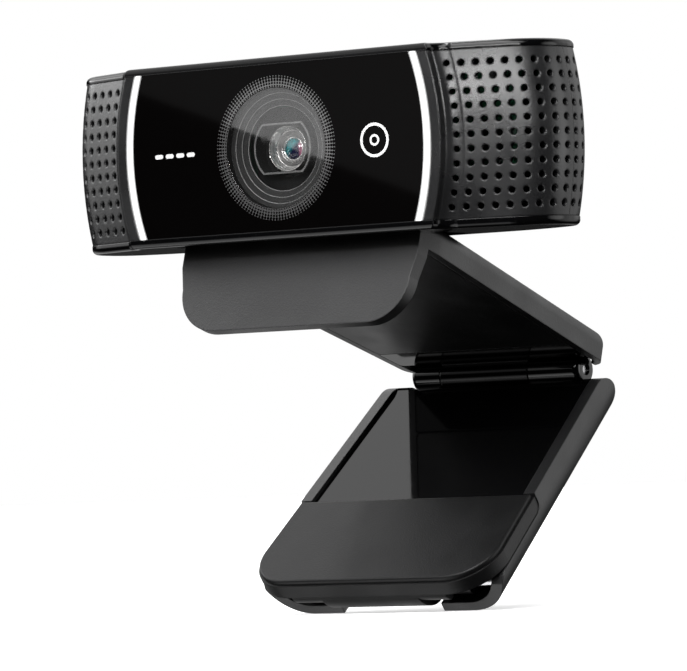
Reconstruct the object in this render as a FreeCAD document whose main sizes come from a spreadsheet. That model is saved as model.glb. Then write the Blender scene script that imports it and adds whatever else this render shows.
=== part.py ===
import FreeCAD, Part

import math
import os

# A webcam head on a folding monitor clip. Millimetres, +Z up, +X to the right seen from the front, which
# faces -Y. The origin is the mouth of the tripod thread under the leg. Three working frames share the plane
# X = 0: the head (origin at the middle of its front plate), the arm and the leg (origin on the clip hinge's
# axis, with Y running to the rear along the piece and Z square to it).

DOC = FreeCAD.newDocument("Webcam")
SHEET = DOC.addObject("Spreadsheet::Sheet", "Sizes")

SIZES = (
    ("body_width", 94.0, "head, overall width"),
    ("body_height", 29.0, "head, overall height"),
    ("body_depth", 23.8, "head, front plate to back"),
    ("top_thickness", 1.2, "glossy top cover"),
    ("bottom_thickness", 1.4, "glossy bottom cover"),
    ("bow_radius", 40.0, "curve of the front plate's ends, seen from the front"),
    ("window_half", 28.15, "front plate, half width at mid height"),
    ("window_thickness", 1.2, "front plate"),
    ("strip_width", 1.5, "lit strip"),
    ("bezel_wall", 1.75, "side wall of the proud centre section"),
    ("bezel_depth", 4.6, "centre section, front to back of its side wall"),
    ("bezel_floor", 1.2, "plate behind the window"),
    ("clear_radius", 9.56, "clear disc over the lens"),
    ("shell_wall", 1.4, "grilles and rear housing"),
    ("grille_start", 33.9, "where the concave foot of the grille ends"),
    ("grille_start_depth", 3.05, "and its depth behind the front plate"),
    ("grille_slope", 20.9, "angle at which the grille falls back"),
    ("grille_turn", 41.5, "where the grille starts to turn the end"),
    ("end_radius", 8.5, "front corner of the head in plan"),
    ("rear_corner_start", 15.2, "where the rear corner starts"),
    ("rear_flat_half", 30.0, "flat middle of the back, half width"),
    ("hole_radius", 0.5, "grille hole"),
    ("hole_flare", 0.14, "eased mouth of a grille hole"),
    ("hole_pitch", 2.27, "between columns, along the surface"),
    ("row_pitch", 2.24, "between rows"),
    ("hole_rows", 11, "rows of grille holes"),
    ("hole_columns", 9, "columns of grille holes"),
    ("rear_columns", 2, "more columns on the rear housing"),
    ("hood_radius", 5.2, "mouth of the hood round the lens"),
    ("hood_flat", 3.7, "its flats above and below the lens"),
    ("hood_wall", 0.35, "hood"),
    ("board_depth", 12.5, "front of the circuit board behind the front plate"),
    ("board_thickness", 1.2, "circuit board"),
    ("tilt_depth", 15.0, "tilt axis behind the front plate"),
    ("tilt_drop", 11.5, "tilt axis below the middle of the head"),
    ("tilt_knuckle", 2.1, "radius of the tilt hinge's ears and block"),
    ("pin_radius", 1.0, "every hinge pin"),
    ("pin_clearance", 0.05, "radial clearance of the pins"),
    ("recess_half", 23.6, "recess in the head's underside, half width"),
    ("recess_front", 3.8, "its front wall"),
    ("recess_rear", 21.1, "its rear wall"),
    ("recess_roof", 8.1, "its roof below the middle of the head"),
    ("recess_wall", 1.2, "its walls"),
    ("arm_tilt", 17.94, "slope of the arm at rest"),
    ("leg_slope", 37.91, "slope of the leg at rest"),
    ("hinge_depth", 62.5, "clip hinge behind the front plate"),
    ("hinge_drop", 36.0, "clip hinge below the middle of the head"),
    ("arm_half_front", 22.9, "arm, half width at its front"),
    ("arm_half_rear", 19.8, "and at its rear"),
    ("arm_taper_start", 54.5, "distance from the hinge where the arm starts to narrow"),
    ("arm_under", 1.1, "underside of the arm above the hinge axis"),
    ("arm_thickness", 5.1, "arm"),
    ("arm_edge", 2.4, "rounding of the arm's upper edges"),
    ("arm_end", 1.5, "arm beyond the hinge axis"),
    ("arm_wall", 1.5, "side walls round the arm's panel"),
    ("arm_roof", 1.7, "skin over the arm's cavity"),
    ("lip_front", 60.35, "front face of the lip from the hinge axis"),
    ("lip_depth", 12.5, "lip below the arm"),
    ("lip_root", 2.8, "thickness of the lip at the arm"),
    ("lip_tip", 1.9, "and at its lower edge"),
    ("lip_corner", 7.2, "lower corners of the lip"),
    ("lip_half", 22.1, "half width of the lip at its lower edge"),
    ("knuckle_radius", 2.8, "clip hinge barrel"),
    ("barrel_half", 16.7, "clip hinge barrel, half length"),
    ("middle_left", 10.75, "middle knuckle, left of the plane X = 0"),
    ("middle_right", 6.85, "and right of it"),
    ("leg_half_rear", 21.45, "leg, half width at the hinge"),
    ("leg_half_front", 23.77, "and at its front"),
    ("leg_length", 50.7, "leg, hinge axis to its front end"),
    ("leg_rim", 0.67, "rim of the leg above the hinge axis"),
    ("leg_bottom", 9.25, "underside of the leg below the hinge axis"),
    ("leg_round", 8.0, "long lower edges of the leg"),
    ("leg_heel", 5.0, "lower rear corners of the leg, seen from the side"),
    ("leg_shoulder", 4.4, "upper rear corners of the leg, seen from the side"),
    ("leg_wall", 2.1, "side walls"),
    ("leg_floor", 1.6, "floor"),
    ("leg_rear", 0.7, "rear face of the leg in front of the hinge axis"),
    ("liner_drop", 0.6, "glossy liner below the rim"),
    ("liner_thickness", 1.4, "liner"),
    ("foot_rear", 33.7, "rear edge of the foot flap from the hinge axis"),
    ("foot_front", 55.1, "its front edge"),
    ("foot_top", 1.0, "top of the flap above the hinge axis"),
    ("foot_pad_thickness", 0.9, "rubber pad on the flap"),
    ("foot_plate_thickness", 2.4, "flap under its pad"),
    ("notch_round", 1.5, "rounded corner of the flap's notch, and the flap's lower rear edge"),
    ("foot_inset", 0.15, "flap inside the leg's width"),
    ("foot_corner", 8.0, "front corners of the flap"),
    ("foot_axis", 48.2, "flap hinge from the clip hinge's axis"),
    ("foot_axis_drop", 5.2, "and below it"),
    ("foot_knuckle", 2.1, "flap hinge knuckle"),
    ("hook_gap", 9.8, "slot between the leg's front hooks, half width"),
    ("thread_radius", 2.55, "tapped wall of the 1/4 inch tripod insert"),
    ("thread_length", 6.5, "its length"),
    ("thread_depth", 20.0, "tripod thread from the hinge axis"),
    ("insert_radius", 4.2, "outside of the insert"),
)

for number, (alias, value, note) in enumerate(SIZES, start=1):
    SHEET.set(f"A{number}", alias)
    SHEET.set(f"B{number}", str(value))
    SHEET.set(f"C{number}", note)
    SHEET.setAlias(f"B{number}", alias)
DOC.recompute()

Vector = FreeCAD.Vector
AXIS_X = Vector(1, 0, 0)
AXIS_Y = Vector(0, 1, 0)
AXIS_Z = Vector(0, 0, 1)
SIDES = {"left": -1, "right": 1}


def size(alias):
    return float(SHEET.get(alias))


def turn(point, degrees):
    """A point (Y, Z) turned about the origin towards +Z."""
    angle = math.radians(degrees)
    y, z = point
    return y * math.cos(angle) - z * math.sin(angle), y * math.sin(angle) + z * math.cos(angle)


# The frames, from the tripod thread's mouth outwards.
MOUTH_Y, MOUTH_Z = turn((-size("thread_depth"), -size("leg_bottom")), size("leg_slope"))
HINGE = Vector(0, -MOUTH_Y, -MOUTH_Z)
FRAMES = {
    "leg": FreeCAD.Placement(HINGE, FreeCAD.Rotation(AXIS_X, size("leg_slope"))),
    "arm": FreeCAD.Placement(HINGE, FreeCAD.Rotation(AXIS_X, -size("arm_tilt"))),
    "head": FreeCAD.Placement(
        HINGE + Vector(0, -size("hinge_depth"), size("hinge_drop")), FreeCAD.Rotation()
    ),
}
NODES = []


# ---------------------------------------------------------------- document helpers


def bind(thing, **properties):
    """Bind properties to expressions over the sheet; a double underscore stands for a dot."""
    for name, expression in properties.items():
        thing.setExpression(name.replace("__", "."), expression)
    return thing


def box(name, length, width, height, x, y, z):
    """A box from its three sizes and its lowest corner, each an expression."""
    thing = DOC.addObject("Part::Box", name)
    bind(thing, Length=length, Width=width, Height=height)
    return bind(thing, Placement__Base__x=x, Placement__Base__y=y, Placement__Base__z=z)


def rod(name, radius, length, x, y, z, axis="Z"):
    """A cylinder from its radius, its length and the middle of its lower end, each an expression."""
    thing = DOC.addObject("Part::Cylinder", name)
    rotation = {"X": (AXIS_Y, 90), "Y": (AXIS_X, -90), "Z": (AXIS_Z, 0)}[axis]
    thing.Placement = FreeCAD.Placement(Vector(), FreeCAD.Rotation(*rotation))
    bind(thing, Radius=radius, Height=length)
    return bind(thing, Placement__Base__x=x, Placement__Base__y=y, Placement__Base__z=z)


def join(name, *things):
    fused = DOC.addObject("Part::MultiFuse", name)
    fused.Shapes = list(things)
    fused.Refine = True
    return fused


def cut(name, base, *tools):
    """The base less every tool."""
    tool = tools[0] if len(tools) == 1 else join(name + "_tools", *tools)
    result = DOC.addObject("Part::Cut", name)
    result.Base = base
    result.Tool = tool
    result.Refine = True
    return result


def common(name, *things):
    shared = DOC.addObject("Part::MultiCommon", name)
    shared.Shapes = list(things)
    return shared


def formed(name, shape):
    """A piece whose curved shape is made by Part's functions from the sheet's sizes."""
    thing = DOC.addObject("Part::Feature", name)
    thing.Shape = shape
    return thing


def node(label, frame, thing):
    """Name a finished piece and put it in its frame; a bare primitive goes in a group that is placed."""
    if thing.TypeId in ("Part::Box", "Part::Cylinder"):
        group = DOC.addObject("Part::Compound", thing.Name + "_placed")
        group.Links = [thing]
        thing = group
    thing.Label = label
    thing.Placement = FRAMES[frame].multiply(thing.Placement)
    NODES.append(thing)


# ---------------------------------------------------------------- shape helpers


def slab(x0, x1, y0, y1, z0, z1):
    return Part.makeBox(x1 - x0, y1 - y0, z1 - z0, Vector(x0, y0, z0))


def closed_face(points):
    """A face in the plane its points share. A point is a Vector, or a pair (middle, end) of an arc."""
    edges = []
    here = points[0]
    for item in list(points[1:]) + [points[0]]:
        if isinstance(item, tuple):
            middle, there = item
            edges.append(Part.Arc(here, middle, there).toShape())
        else:
            there = item
            if here.distanceToPoint(there) > 1e-7:
                edges.append(Part.LineSegment(here, there).toShape())
        here = there
    return Part.Face(Part.Wire(edges))


def rounded_edges(shape, radius, chosen):
    """Fillet the edges that the function chosen accepts."""
    return shape.makeFillet(radius, [edge for edge in shape.Edges if chosen(edge)])


# ---------------------------------------------------------------- head outline

TOP = size("body_height") / 2
INNER_TOP = TOP - size("top_thickness")
INNER_BOTTOM = -TOP + size("bottom_thickness")
BOW_CENTRE = size("window_half") - size("bow_radius")
HALF = size("body_width") / 2
DEPTH = size("body_depth")
STRIP_EDGE = size("window_half") + size("strip_width")
BEZEL_EDGE = STRIP_EDGE + size("bezel_wall")
SLOPE = math.radians(size("grille_slope"))
REAR_SPLIT = math.radians(65)
DRILL_LENGTH = 3.2


def bowed(x, height):
    """Where the head's side at x, mid height, stands at another height."""
    return BOW_CENTRE + math.sqrt((x - BOW_CENTRE) ** 2 - height**2)


def rear_radii():
    """The two tangent radii that turn the end into the flat back."""
    run = HALF - size("rear_flat_half")
    rise = DEPTH - size("rear_corner_start")
    across = 1 - math.cos(REAR_SPLIT)
    determinant = across * (1 - math.sin(REAR_SPLIT)) - math.cos(REAR_SPLIT) * math.sin(REAR_SPLIT)
    small = (run * (1 - math.sin(REAR_SPLIT)) - math.cos(REAR_SPLIT) * rise) / determinant
    large = (across * rise - math.sin(REAR_SPLIT) * run) / determinant
    return small, large


def end_arc(angle, inset=0.0):
    """A point of the front corner, by the angle its surface has turned from the front."""
    radius = size("end_radius")
    centre_x = HALF - radius
    turn_depth = size("grille_start_depth") + (size("grille_turn") - size("grille_start")) * math.tan(SLOPE)
    centre_y = turn_depth + radius * math.cos(SLOPE)
    inner = radius - inset
    return Vector(centre_x + inner * math.sin(angle), centre_y - inner * math.cos(angle), 0)


def rear_arc(angle, inset=0.0):
    """A point of the rear corner, by the angle its surface has turned from the end."""
    small, large = rear_radii()
    start = size("rear_corner_start")
    if angle <= REAR_SPLIT:
        centre = Vector(HALF - small, start, 0)
        radius = small - inset
    else:
        centre = Vector(
            HALF - small + (small - large) * math.cos(REAR_SPLIT),
            start + (small - large) * math.sin(REAR_SPLIT),
            0,
        )
        radius = large - inset
    return centre + Vector(radius * math.cos(angle), radius * math.sin(angle), 0)


def grille_line(inset=0.0):
    """The front side of the end in plan: concave foot, straight slope, then the corner's arc."""
    normal = Vector(math.sin(SLOPE), -math.cos(SLOPE), 0)
    foot = Vector(BEZEL_EDGE, 1.3, 0)
    foot_end = Vector(size("grille_start"), size("grille_start_depth"), 0)
    foot_middle = Vector(BEZEL_EDGE + 0.75, 2.45, 0)
    depth_in = Vector(0, inset, 0)
    return [
        foot + depth_in,
        (foot_middle + depth_in * 1.05, foot_end - normal * inset),
        end_arc(SLOPE, inset),
        (end_arc((SLOPE + math.pi / 2) / 2, inset), end_arc(math.pi / 2, inset)),
    ]


def rear_line(inset=0.0):
    """The rest of the end in plan, from the seam to the flat back."""
    return [
        rear_arc(0, inset),
        (rear_arc(REAR_SPLIT / 2, inset), rear_arc(REAR_SPLIT, inset)),
        (rear_arc((REAR_SPLIT + math.pi / 2) / 2, inset), rear_arc(math.pi / 2, inset)),
    ]


def reverse(line):
    """The same stretch of outline walked the other way."""
    ends = [item[1] if isinstance(item, tuple) else item for item in line]
    backwards = [ends[-1]]
    for index in range(len(line) - 1, 0, -1):
        item = line[index]
        previous = ends[index - 1]
        backwards.append((item[0], previous) if isinstance(item, tuple) else previous)
    return backwards


def bowed_solid(face, bottom=INNER_BOTTOM, top=INNER_TOP):
    """A plan face swept up and down along the head's bowed side, between two heights."""
    sweep = 24
    raised = face.copy()
    raised.rotate(Vector(BOW_CENTRE, 0, 0), AXIS_Y, -sweep)
    swept = raised.revolve(Vector(BOW_CENTRE, 0, 0), AXIS_Y, 2 * sweep)
    return swept.common(slab(0, HALF + 5, -5, DEPTH + 5, bottom, top))


def mirrored(shape):
    return shape.mirror(Vector(), AXIS_X)


def surface_point(run):
    """Point and outward angle on the end's outer side, by distance along it from the slope's start."""
    slope_run = (end_arc(SLOPE) - Vector(size("grille_start"), size("grille_start_depth"), 0)).Length
    arc_run = size("end_radius") * (math.pi / 2 - SLOPE)
    straight_run = size("rear_corner_start") - end_arc(math.pi / 2).y
    if run <= slope_run:
        start = Vector(size("grille_start"), size("grille_start_depth"), 0)
        return start + Vector(math.cos(SLOPE), math.sin(SLOPE), 0) * run, SLOPE
    run -= slope_run
    if run <= arc_run:
        angle = SLOPE + run / size("end_radius")
        return end_arc(angle), angle
    run -= arc_run
    if run <= straight_run:
        return end_arc(math.pi / 2) + Vector(0, run, 0), math.pi / 2
    angle = (run - straight_run) / rear_radii()[0]
    return rear_arc(angle), math.pi / 2 + angle


def hole_cutters(columns):
    """Countersunk drills for the given columns of holes, square to the plan, each row at its own height."""
    radius = size("hole_radius")
    flare = size("hole_flare")
    drills = []
    for column in columns:
        point, angle = surface_point(0.97 + (column - 2) * size("hole_pitch"))
        outward = Vector(math.sin(angle), -math.cos(angle), 0)
        for row in range(int(size("hole_rows"))):
            height = (row - (size("hole_rows") - 1) / 2) * size("row_pitch")
            place = Vector(bowed(point.x, height), point.y, height)
            drills.append(Part.makeCylinder(radius, DRILL_LENGTH, place + outward, -outward))
            low = place - outward * flare
            drills.append(Part.makeCone(radius, radius + 2 * flare, 2 * flare, low, outward))
    return drills


# ---------------------------------------------------------------- head


def bowed_plate(edge, y0, y1, bottom, top):
    """A plate between two depths whose two ends are arcs, as the front plate is."""
    radius = edge - BOW_CENTRE
    right = Part.makeCylinder(radius, y1 - y0, Vector(BOW_CENTRE, y0, 0), AXIS_Y)
    left = Part.makeCylinder(radius, y1 - y0, Vector(-BOW_CENTRE, y0, 0), AXIS_Y)
    block = slab(-edge - 1, edge + 1, y0, y1, bottom, top)
    return block.common(right).common(left)


def front_window():
    plate = bowed_plate(size("window_half"), 0, size("window_thickness"), INNER_BOTTOM, INNER_TOP)
    hole = Part.makeCylinder(size("clear_radius"), 4, Vector(0, -1, 0), AXIS_Y)
    return plate.cut(hole)


def light_pipe(side):
    thickness = size("window_thickness")
    outer = bowed_plate(STRIP_EDGE, 0, thickness, INNER_BOTTOM, INNER_TOP)
    inner = bowed_plate(size("window_half"), -1, thickness + 1, INNER_BOTTOM - 1, INNER_TOP + 1)
    half = slab(0, HALF, -1, 5, -TOP, TOP)
    right = outer.cut(inner).common(half)
    return right if side > 0 else mirrored(right)


def front_bezel():
    """The proud centre section: side walls, and the floor that the window and the strips lie on."""
    outer = bowed_plate(BEZEL_EDGE, 0, size("bezel_depth"), INNER_BOTTOM, INNER_TOP)
    seat = bowed_plate(STRIP_EDGE, -1, size("window_thickness"), INNER_BOTTOM - 1, INNER_TOP + 1)
    floor_back = size("window_thickness") + size("bezel_floor")
    hollow = bowed_plate(STRIP_EDGE, floor_back, size("bezel_depth") + 1, INNER_BOTTOM - 1, INNER_TOP + 1)
    hole = Part.makeCylinder(size("clear_radius"), 8, Vector(0, -1, 0), AXIS_Y)
    return outer.cut(seat).cut(hollow).cut(hole)


def grille(side):
    """A perforated shell round the front corner of the head."""
    wall = size("shell_wall")
    face = closed_face(grille_line() + reverse(grille_line(wall)))
    shell = bowed_solid(face)
    shell = shell.cut(hole_cutters(range(1, int(size("hole_columns")) + 1)))
    return shell if side > 0 else mirrored(shell)


def cover_outline(height, grow):
    """The whole outline of the head at a height, pushed out a little."""
    points = [Vector(bowed(BEZEL_EDGE, height), 0, 0)]
    points += [
        (Vector(bowed(item[0].x, height), item[0].y, 0), Vector(bowed(item[1].x, height), item[1].y, 0))
        if isinstance(item, tuple)
        else Vector(bowed(item.x, height), item.y, 0)
        for item in grille_line() + rear_line()
    ]
    left = [
        tuple(Vector(-p.x, p.y, 0) for p in item) if isinstance(item, tuple) else Vector(-item.x, item.y, 0)
        for item in reverse(points)
    ]
    face = closed_face(points + left)
    return Part.Face(face.OuterWire.makeOffset2D(grow))


def cover(bottom, top, rounded_z):
    """A glossy cover: a plate of the head's outline with its outer edge rounded over."""
    face = cover_outline(INNER_TOP, 0.15)
    face.translate(Vector(0, 0, bottom))
    plate = face.extrude(Vector(0, 0, top - bottom))

    def outer_edge(edge):
        return all(abs(vertex.Z - rounded_z) < 1e-6 for vertex in edge.Vertexes)

    return rounded_edges(plate, 0.9, outer_edge)


def top_cover():
    return cover(INNER_TOP, TOP, TOP)


def bottom_cover():
    """The lower cover, open under the recess that takes the arm's front."""
    half = size("recess_half")
    opening = slab(-half, half, size("recess_front"), size("recess_rear"), -TOP - 1, 0)
    return cover(-TOP, INNER_BOTTOM, -TOP).cut(opening)


BOARD_FRONT = size("board_depth")
BOARD_BACK = BOARD_FRONT + size("board_thickness")
POSTS = [(x, z) for x in (-34, 34) for z in (-3, 10)]
POST_RADIUS = 2.2
SCREW_HOLE = 0.7
INLET = Vector(0, DEPTH - 4, -1)
INLET_RADIUS = 2.6


def rear_housing():
    """The back shell: two ends with more holes, a flat back, four board posts and the cable inlet."""
    wall = size("shell_wall")
    outer = [end_arc(math.pi / 2)] + rear_line()
    inner = [end_arc(math.pi / 2, wall)] + rear_line(wall)
    face = closed_face(outer + reverse(inner))
    right = bowed_solid(face)
    columns = int(size("hole_columns"))
    right = right.cut(hole_cutters(range(columns + 1, columns + 1 + int(size("rear_columns")))))
    flat = size("rear_flat_half")
    back = slab(-flat, flat, DEPTH - wall, DEPTH, INNER_BOTTOM, INNER_TOP)
    shell = back.fuse([right, mirrored(right)])
    post_length = DEPTH - wall - BOARD_BACK + 0.5
    for x, z in POSTS:
        post = Part.makeCylinder(POST_RADIUS, post_length, Vector(x, BOARD_BACK, z), AXIS_Y)
        shell = shell.fuse(post)
    for x, z in POSTS:
        shell = shell.cut(Part.makeCylinder(SCREW_HOLE, 6, Vector(x, BOARD_BACK - 1, z), AXIS_Y))
    inlet = Part.makeCylinder(INLET_RADIUS, 6, INLET, AXIS_Y)
    return shell.cut(inlet).removeSplitter()


def lens_baffle():
    """A ring of three shallow steps that leads the eye in to the lens."""
    start = size("window_thickness")
    radii = (size("clear_radius"), 8.73, 7.75, 6.74)
    profile = [Vector(radii[0], start, 0)]
    for step, radius in enumerate(radii[1:]):
        depth = start + 0.1 + 0.28 * step
        profile.append(Vector(radii[step], depth, 0))
        profile.append(Vector(radius + 0.12, depth, 0))
    profile.append(Vector(radii[-1], start + size("bezel_floor"), 0))
    profile.append(Vector(radii[0], start + size("bezel_floor"), 0))
    tidy = [point for index, point in enumerate(profile) if index == 0 or point != profile[index - 1]]
    return closed_face(tidy).revolve(Vector(), AXIS_Y, 360)


def lens_barrel():
    """The moving barrel: a guide, a cone and a dished front face."""
    profile = [
        Vector(1.75, 5.0, 0),
        Vector(2.1, 4.4, 0),
        Vector(2.85, 4.4, 0),
        Vector(3.0, 4.55, 0),
        Vector(4.2, 5.4, 0),
        Vector(4.3, 5.6, 0),
        Vector(4.3, 10.0, 0),
        Vector(1.75, 10.0, 0),
    ]
    return closed_face(profile).revolve(Vector(), AXIS_Y, 360)


def lens_glass():
    """The front element: a domed disc seated in the barrel."""
    profile = [
        Vector(0, 4.72, 0),
        (Vector(0.95, 4.86, 0), Vector(1.75, 5.25, 0)),
        Vector(1.75, 7.2, 0),
        Vector(0, 7.2, 0),
    ]
    return closed_face(profile).revolve(Vector(), AXIS_Y, 360)


node("front_window", "head", formed("FrontWindow", front_window()))
node(
    "lens_window",
    "head",
    rod("LensWindow", "Sizes.clear_radius", "Sizes.window_thickness", "0", "0", "0", "Y"),
)
for side_name, side in SIDES.items():
    node(f"light_pipe_{side_name}", "head", formed(f"LightPipe_{side_name}", light_pipe(side)))
    node(f"grille_{side_name}", "head", formed(f"Grille_{side_name}", grille(side)))
node("front_bezel", "head", formed("FrontBezel", front_bezel()))
node("top_cover", "head", formed("TopCover", top_cover()))
node("bottom_cover", "head", formed("BottomCover", bottom_cover()))
node("rear_housing", "head", formed("RearHousing", rear_housing()))
# The recess in the head's underside that the arm's front end tilts in.
INNER_FLOOR = "Sizes.bottom_thickness - Sizes.body_height / 2"
recess_blank = box(
    "RecessBlank",
    "2 * (Sizes.recess_half + Sizes.recess_wall)",
    "Sizes.recess_rear - Sizes.recess_front + 2 * Sizes.recess_wall",
    "Sizes.body_height / 2 - Sizes.bottom_thickness - Sizes.recess_roof + Sizes.recess_wall",
    "-Sizes.recess_half - Sizes.recess_wall",
    "Sizes.recess_front - Sizes.recess_wall",
    INNER_FLOOR,
)
recess_room = box(
    "RecessRoom",
    "2 * Sizes.recess_half",
    "Sizes.recess_rear - Sizes.recess_front",
    "Sizes.body_height / 2 - Sizes.bottom_thickness - Sizes.recess_roof + 1",
    "-Sizes.recess_half",
    "Sizes.recess_front",
    INNER_FLOOR + " - 1",
)
node("chassis", "head", cut("Chassis", recess_blank, recess_room))
node("lens_baffle", "head", formed("LensBaffle", lens_baffle()))

# The square actuator body behind the baffle, with a flat-sided hood in front of it.


def stadium(name, radius, flat, start, length):
    """A round bar along Y with a flat above and below."""
    bar = rod(name + "Bar", radius, length, "0", start, "0", "Y")
    flats = box(
        name + "Flats", f"2 * {radius}", length, f"2 * {flat}", f"-{radius}", start, f"-{flat}"
    )
    return common(name, bar, flats)


actuator = box("Actuator", "13.2", "Sizes.board_depth - 5.8", "13.2", "-6.6", "4.2", "-6.6")
hood = stadium("Hood", "(Sizes.hood_radius + Sizes.hood_wall)", "(Sizes.hood_flat + Sizes.hood_wall)", "1.8", "2.5")
mouth = stadium("HoodMouth", "Sizes.hood_radius", "Sizes.hood_flat", "1", "3.6")
focus_bore = rod("FocusBore", "4.35", "12", "0", "3", "0", "Y")
node("focus_housing", "head", cut("FocusHousing", join("ActuatorHood", actuator, hood), mouth, focus_bore))
node("lens_barrel", "head", formed("LensBarrel", lens_barrel()))
node("lens_glass", "head", formed("LensGlass", lens_glass()))


def several(name, makers):
    """Identical loose solids, such as screws, kept together as one node."""
    return formed(name, Part.makeCompound(makers))


def screw(point, direction, head_radius, head_length, shank_radius, shank_length):
    """A pan-head screw whose head's underside is at the point; the shank runs along the direction."""
    head_end = point - direction * head_length
    head = Part.makeCylinder(head_radius, head_length, head_end, direction)
    shank = Part.makeCylinder(shank_radius, shank_length, point, direction)
    socket = Part.makeCylinder(shank_radius * 0.8, head_length * 0.5, head_end, direction)
    return head.fuse(shank).cut(socket)


# The circuit board and what stands on it.

board = box("BoardBlank", "76", "Sizes.board_thickness", "18.2", "-38", "Sizes.board_depth", "-6")
board_holes = [
    rod(f"BoardHole{index}", "0.9", "4", str(x), "Sizes.board_depth - 1.5", str(z), "Y")
    for index, (x, z) in enumerate(POSTS)
]
node("main_board", "head", cut("MainBoard", board, *board_holes))
sensor = box("ImageSensor", "7", "1.1", "6", "-3.5", "Sizes.board_depth - 1.1", "-3")
node("image_sensor", "head", sensor)
node("ir_filter", "head", box("IrFilter", "5.6", "0.4", "5", "-2.8", "Sizes.board_depth - 1.5", "-2.5"))
socket = box("BoardConnector", "9", "3.2", "4", "-4.5", "Sizes.board_depth + Sizes.board_thickness", "5")
node("board_connector", "head", socket)
node(
    "microphones",
    "head",
    several("Microphones", [slab(x - 2, x + 2, 11.3, 12.5, -1.5, 1.5) for x in (-35, 35)]),
)


def mic_boot(x):
    sleeve = Part.makeCylinder(2.4, 3.6, Vector(x, 7.7, 0), AXIS_Y)
    return sleeve.cut(Part.makeCylinder(0.9, 6, Vector(x, 7, 0), AXIS_Y))


node("mic_boots", "head", several("MicBoots", [mic_boot(-35), mic_boot(35)]))
node(
    "status_leds",
    "head",
    several("StatusLeds", [slab(x - 0.8, x + 0.8, 2.4, 3.3, -1.5, 1.5) for x in (-27.6, 27.6)]),
)
node(
    "board_screws",
    "head",
    several(
        "BoardScrews",
        [screw(Vector(x, 12.5, z), AXIS_Y, 1.5, 1.0, 0.7, 5.5) for x, z in POSTS],
    ),
)


# The inlet bush in the back, closed at its outer end.
INLET_START = "Sizes.body_depth - Sizes.shell_wall"
INLET_HEIGHT = str(INLET.z)
flange = rod("InletFlange", str(INLET_RADIUS + 1), "1", "0", INLET_START + " - 1", INLET_HEIGHT, "Y")
inlet_neck = rod("InletNeck", str(INLET_RADIUS), "Sizes.shell_wall", "0", INLET_START, INLET_HEIGHT, "Y")
channel = rod("InletChannel", str(INLET_RADIUS - 1), "2", "0", INLET_START + " - 1.2", INLET_HEIGHT, "Y")
node("cable_grommet", "head", cut("CableGrommet", join("InletBush", flange, inlet_neck), channel))

# The tilt hinge: a block under the recess's roof, a pin through it, and a bracket's two ears on the arm.

PIN_HOLE = size("pin_radius") + size("pin_clearance")
TILT = Vector(0, size("tilt_depth"), -size("tilt_drop"))
BLOCK_HALF = 6.2
EAR_INNER = 6.5
EAR_OUTER = 8.3


block_barrel = rod(
    "BlockBarrel",
    "Sizes.tilt_knuckle",
    str(2 * BLOCK_HALF),
    str(-BLOCK_HALF),
    "Sizes.tilt_depth",
    "-Sizes.tilt_drop",
    "X",
)
block_stem = box(
    "BlockStem",
    str(2 * BLOCK_HALF),
    "2 * Sizes.tilt_knuckle",
    "Sizes.tilt_drop - Sizes.recess_roof",
    str(-BLOCK_HALF),
    "Sizes.tilt_depth - Sizes.tilt_knuckle",
    "-Sizes.tilt_drop",
)
block_bore = rod(
    "BlockBore",
    "Sizes.pin_radius + Sizes.pin_clearance",
    str(4 * BLOCK_HALF),
    str(-2 * BLOCK_HALF),
    "Sizes.tilt_depth",
    "-Sizes.tilt_drop",
    "X",
)
node("tilt_block", "head", cut("TiltBlock", join("BlockBlank", block_barrel, block_stem), block_bore))

# ---------------------------------------------------------------- arm, in its own frame

ARM_FROM_HEAD = FRAMES["arm"].inverse().multiply(FRAMES["head"])
TILT_ON_ARM = ARM_FROM_HEAD.multVec(TILT)
UNDER = size("arm_under")
ARM_TOP = UNDER + size("arm_thickness")
LIP_FRONT = -size("lip_front")
LIP_BOTTOM = UNDER - size("lip_depth")
ARM_REAR = size("arm_end")
TAPER_START = -size("arm_taper_start")
KNUCKLE_ROOM = size("knuckle_radius") + 0.3
ROOM_HALF = size("barrel_half") + 0.6
PANEL_REAR = -9.5
BRACKET_HALF = 10.5
BRACKET_FRONT = TILT_ON_ARM.y - 3.2
BRACKET_REAR = TILT_ON_ARM.y + 8.5
BRACKET_MIDDLE = TILT_ON_ARM.y + 5.6
BRACKET_SCREWS = (-7.0, 7.0)
BRACKET_SHEET = 0.8


def arm_half(y):
    """Half width of the arm at a distance along it."""
    if y <= TAPER_START:
        return size("arm_half_front")
    share = (y - TAPER_START) / (ARM_REAR - TAPER_START)
    return size("arm_half_front") + share * (size("arm_half_rear") - size("arm_half_front"))


def arm_plan(inset, front, rear, corner):
    """The arm's tapered outline in plan, its rear corners rounded."""
    front_half = arm_half(front) - inset
    rear_half = arm_half(rear) - inset
    points = [Vector(-front_half, front, 0)]
    if front < TAPER_START < rear:
        points.append(Vector(-arm_half(TAPER_START) + inset, TAPER_START, 0))
    bend = corner * (1 - math.sqrt(0.5))
    points.append(Vector(-rear_half, rear - corner, 0))
    points.append((Vector(-rear_half + bend, rear - bend, 0), Vector(-rear_half + corner, rear, 0)))
    points.append(Vector(rear_half - corner, rear, 0))
    points.append((Vector(rear_half - bend, rear - bend, 0), Vector(rear_half, rear - corner, 0)))
    if front < TAPER_START < rear:
        points.append(Vector(arm_half(TAPER_START) - inset, TAPER_START, 0))
    points.append(Vector(front_half, front, 0))
    return closed_face(points)


def raised(face, z0, z1):
    placed = face.copy()
    placed.translate(Vector(0, 0, z0))
    return placed.extrude(Vector(0, 0, z1 - z0))


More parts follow.
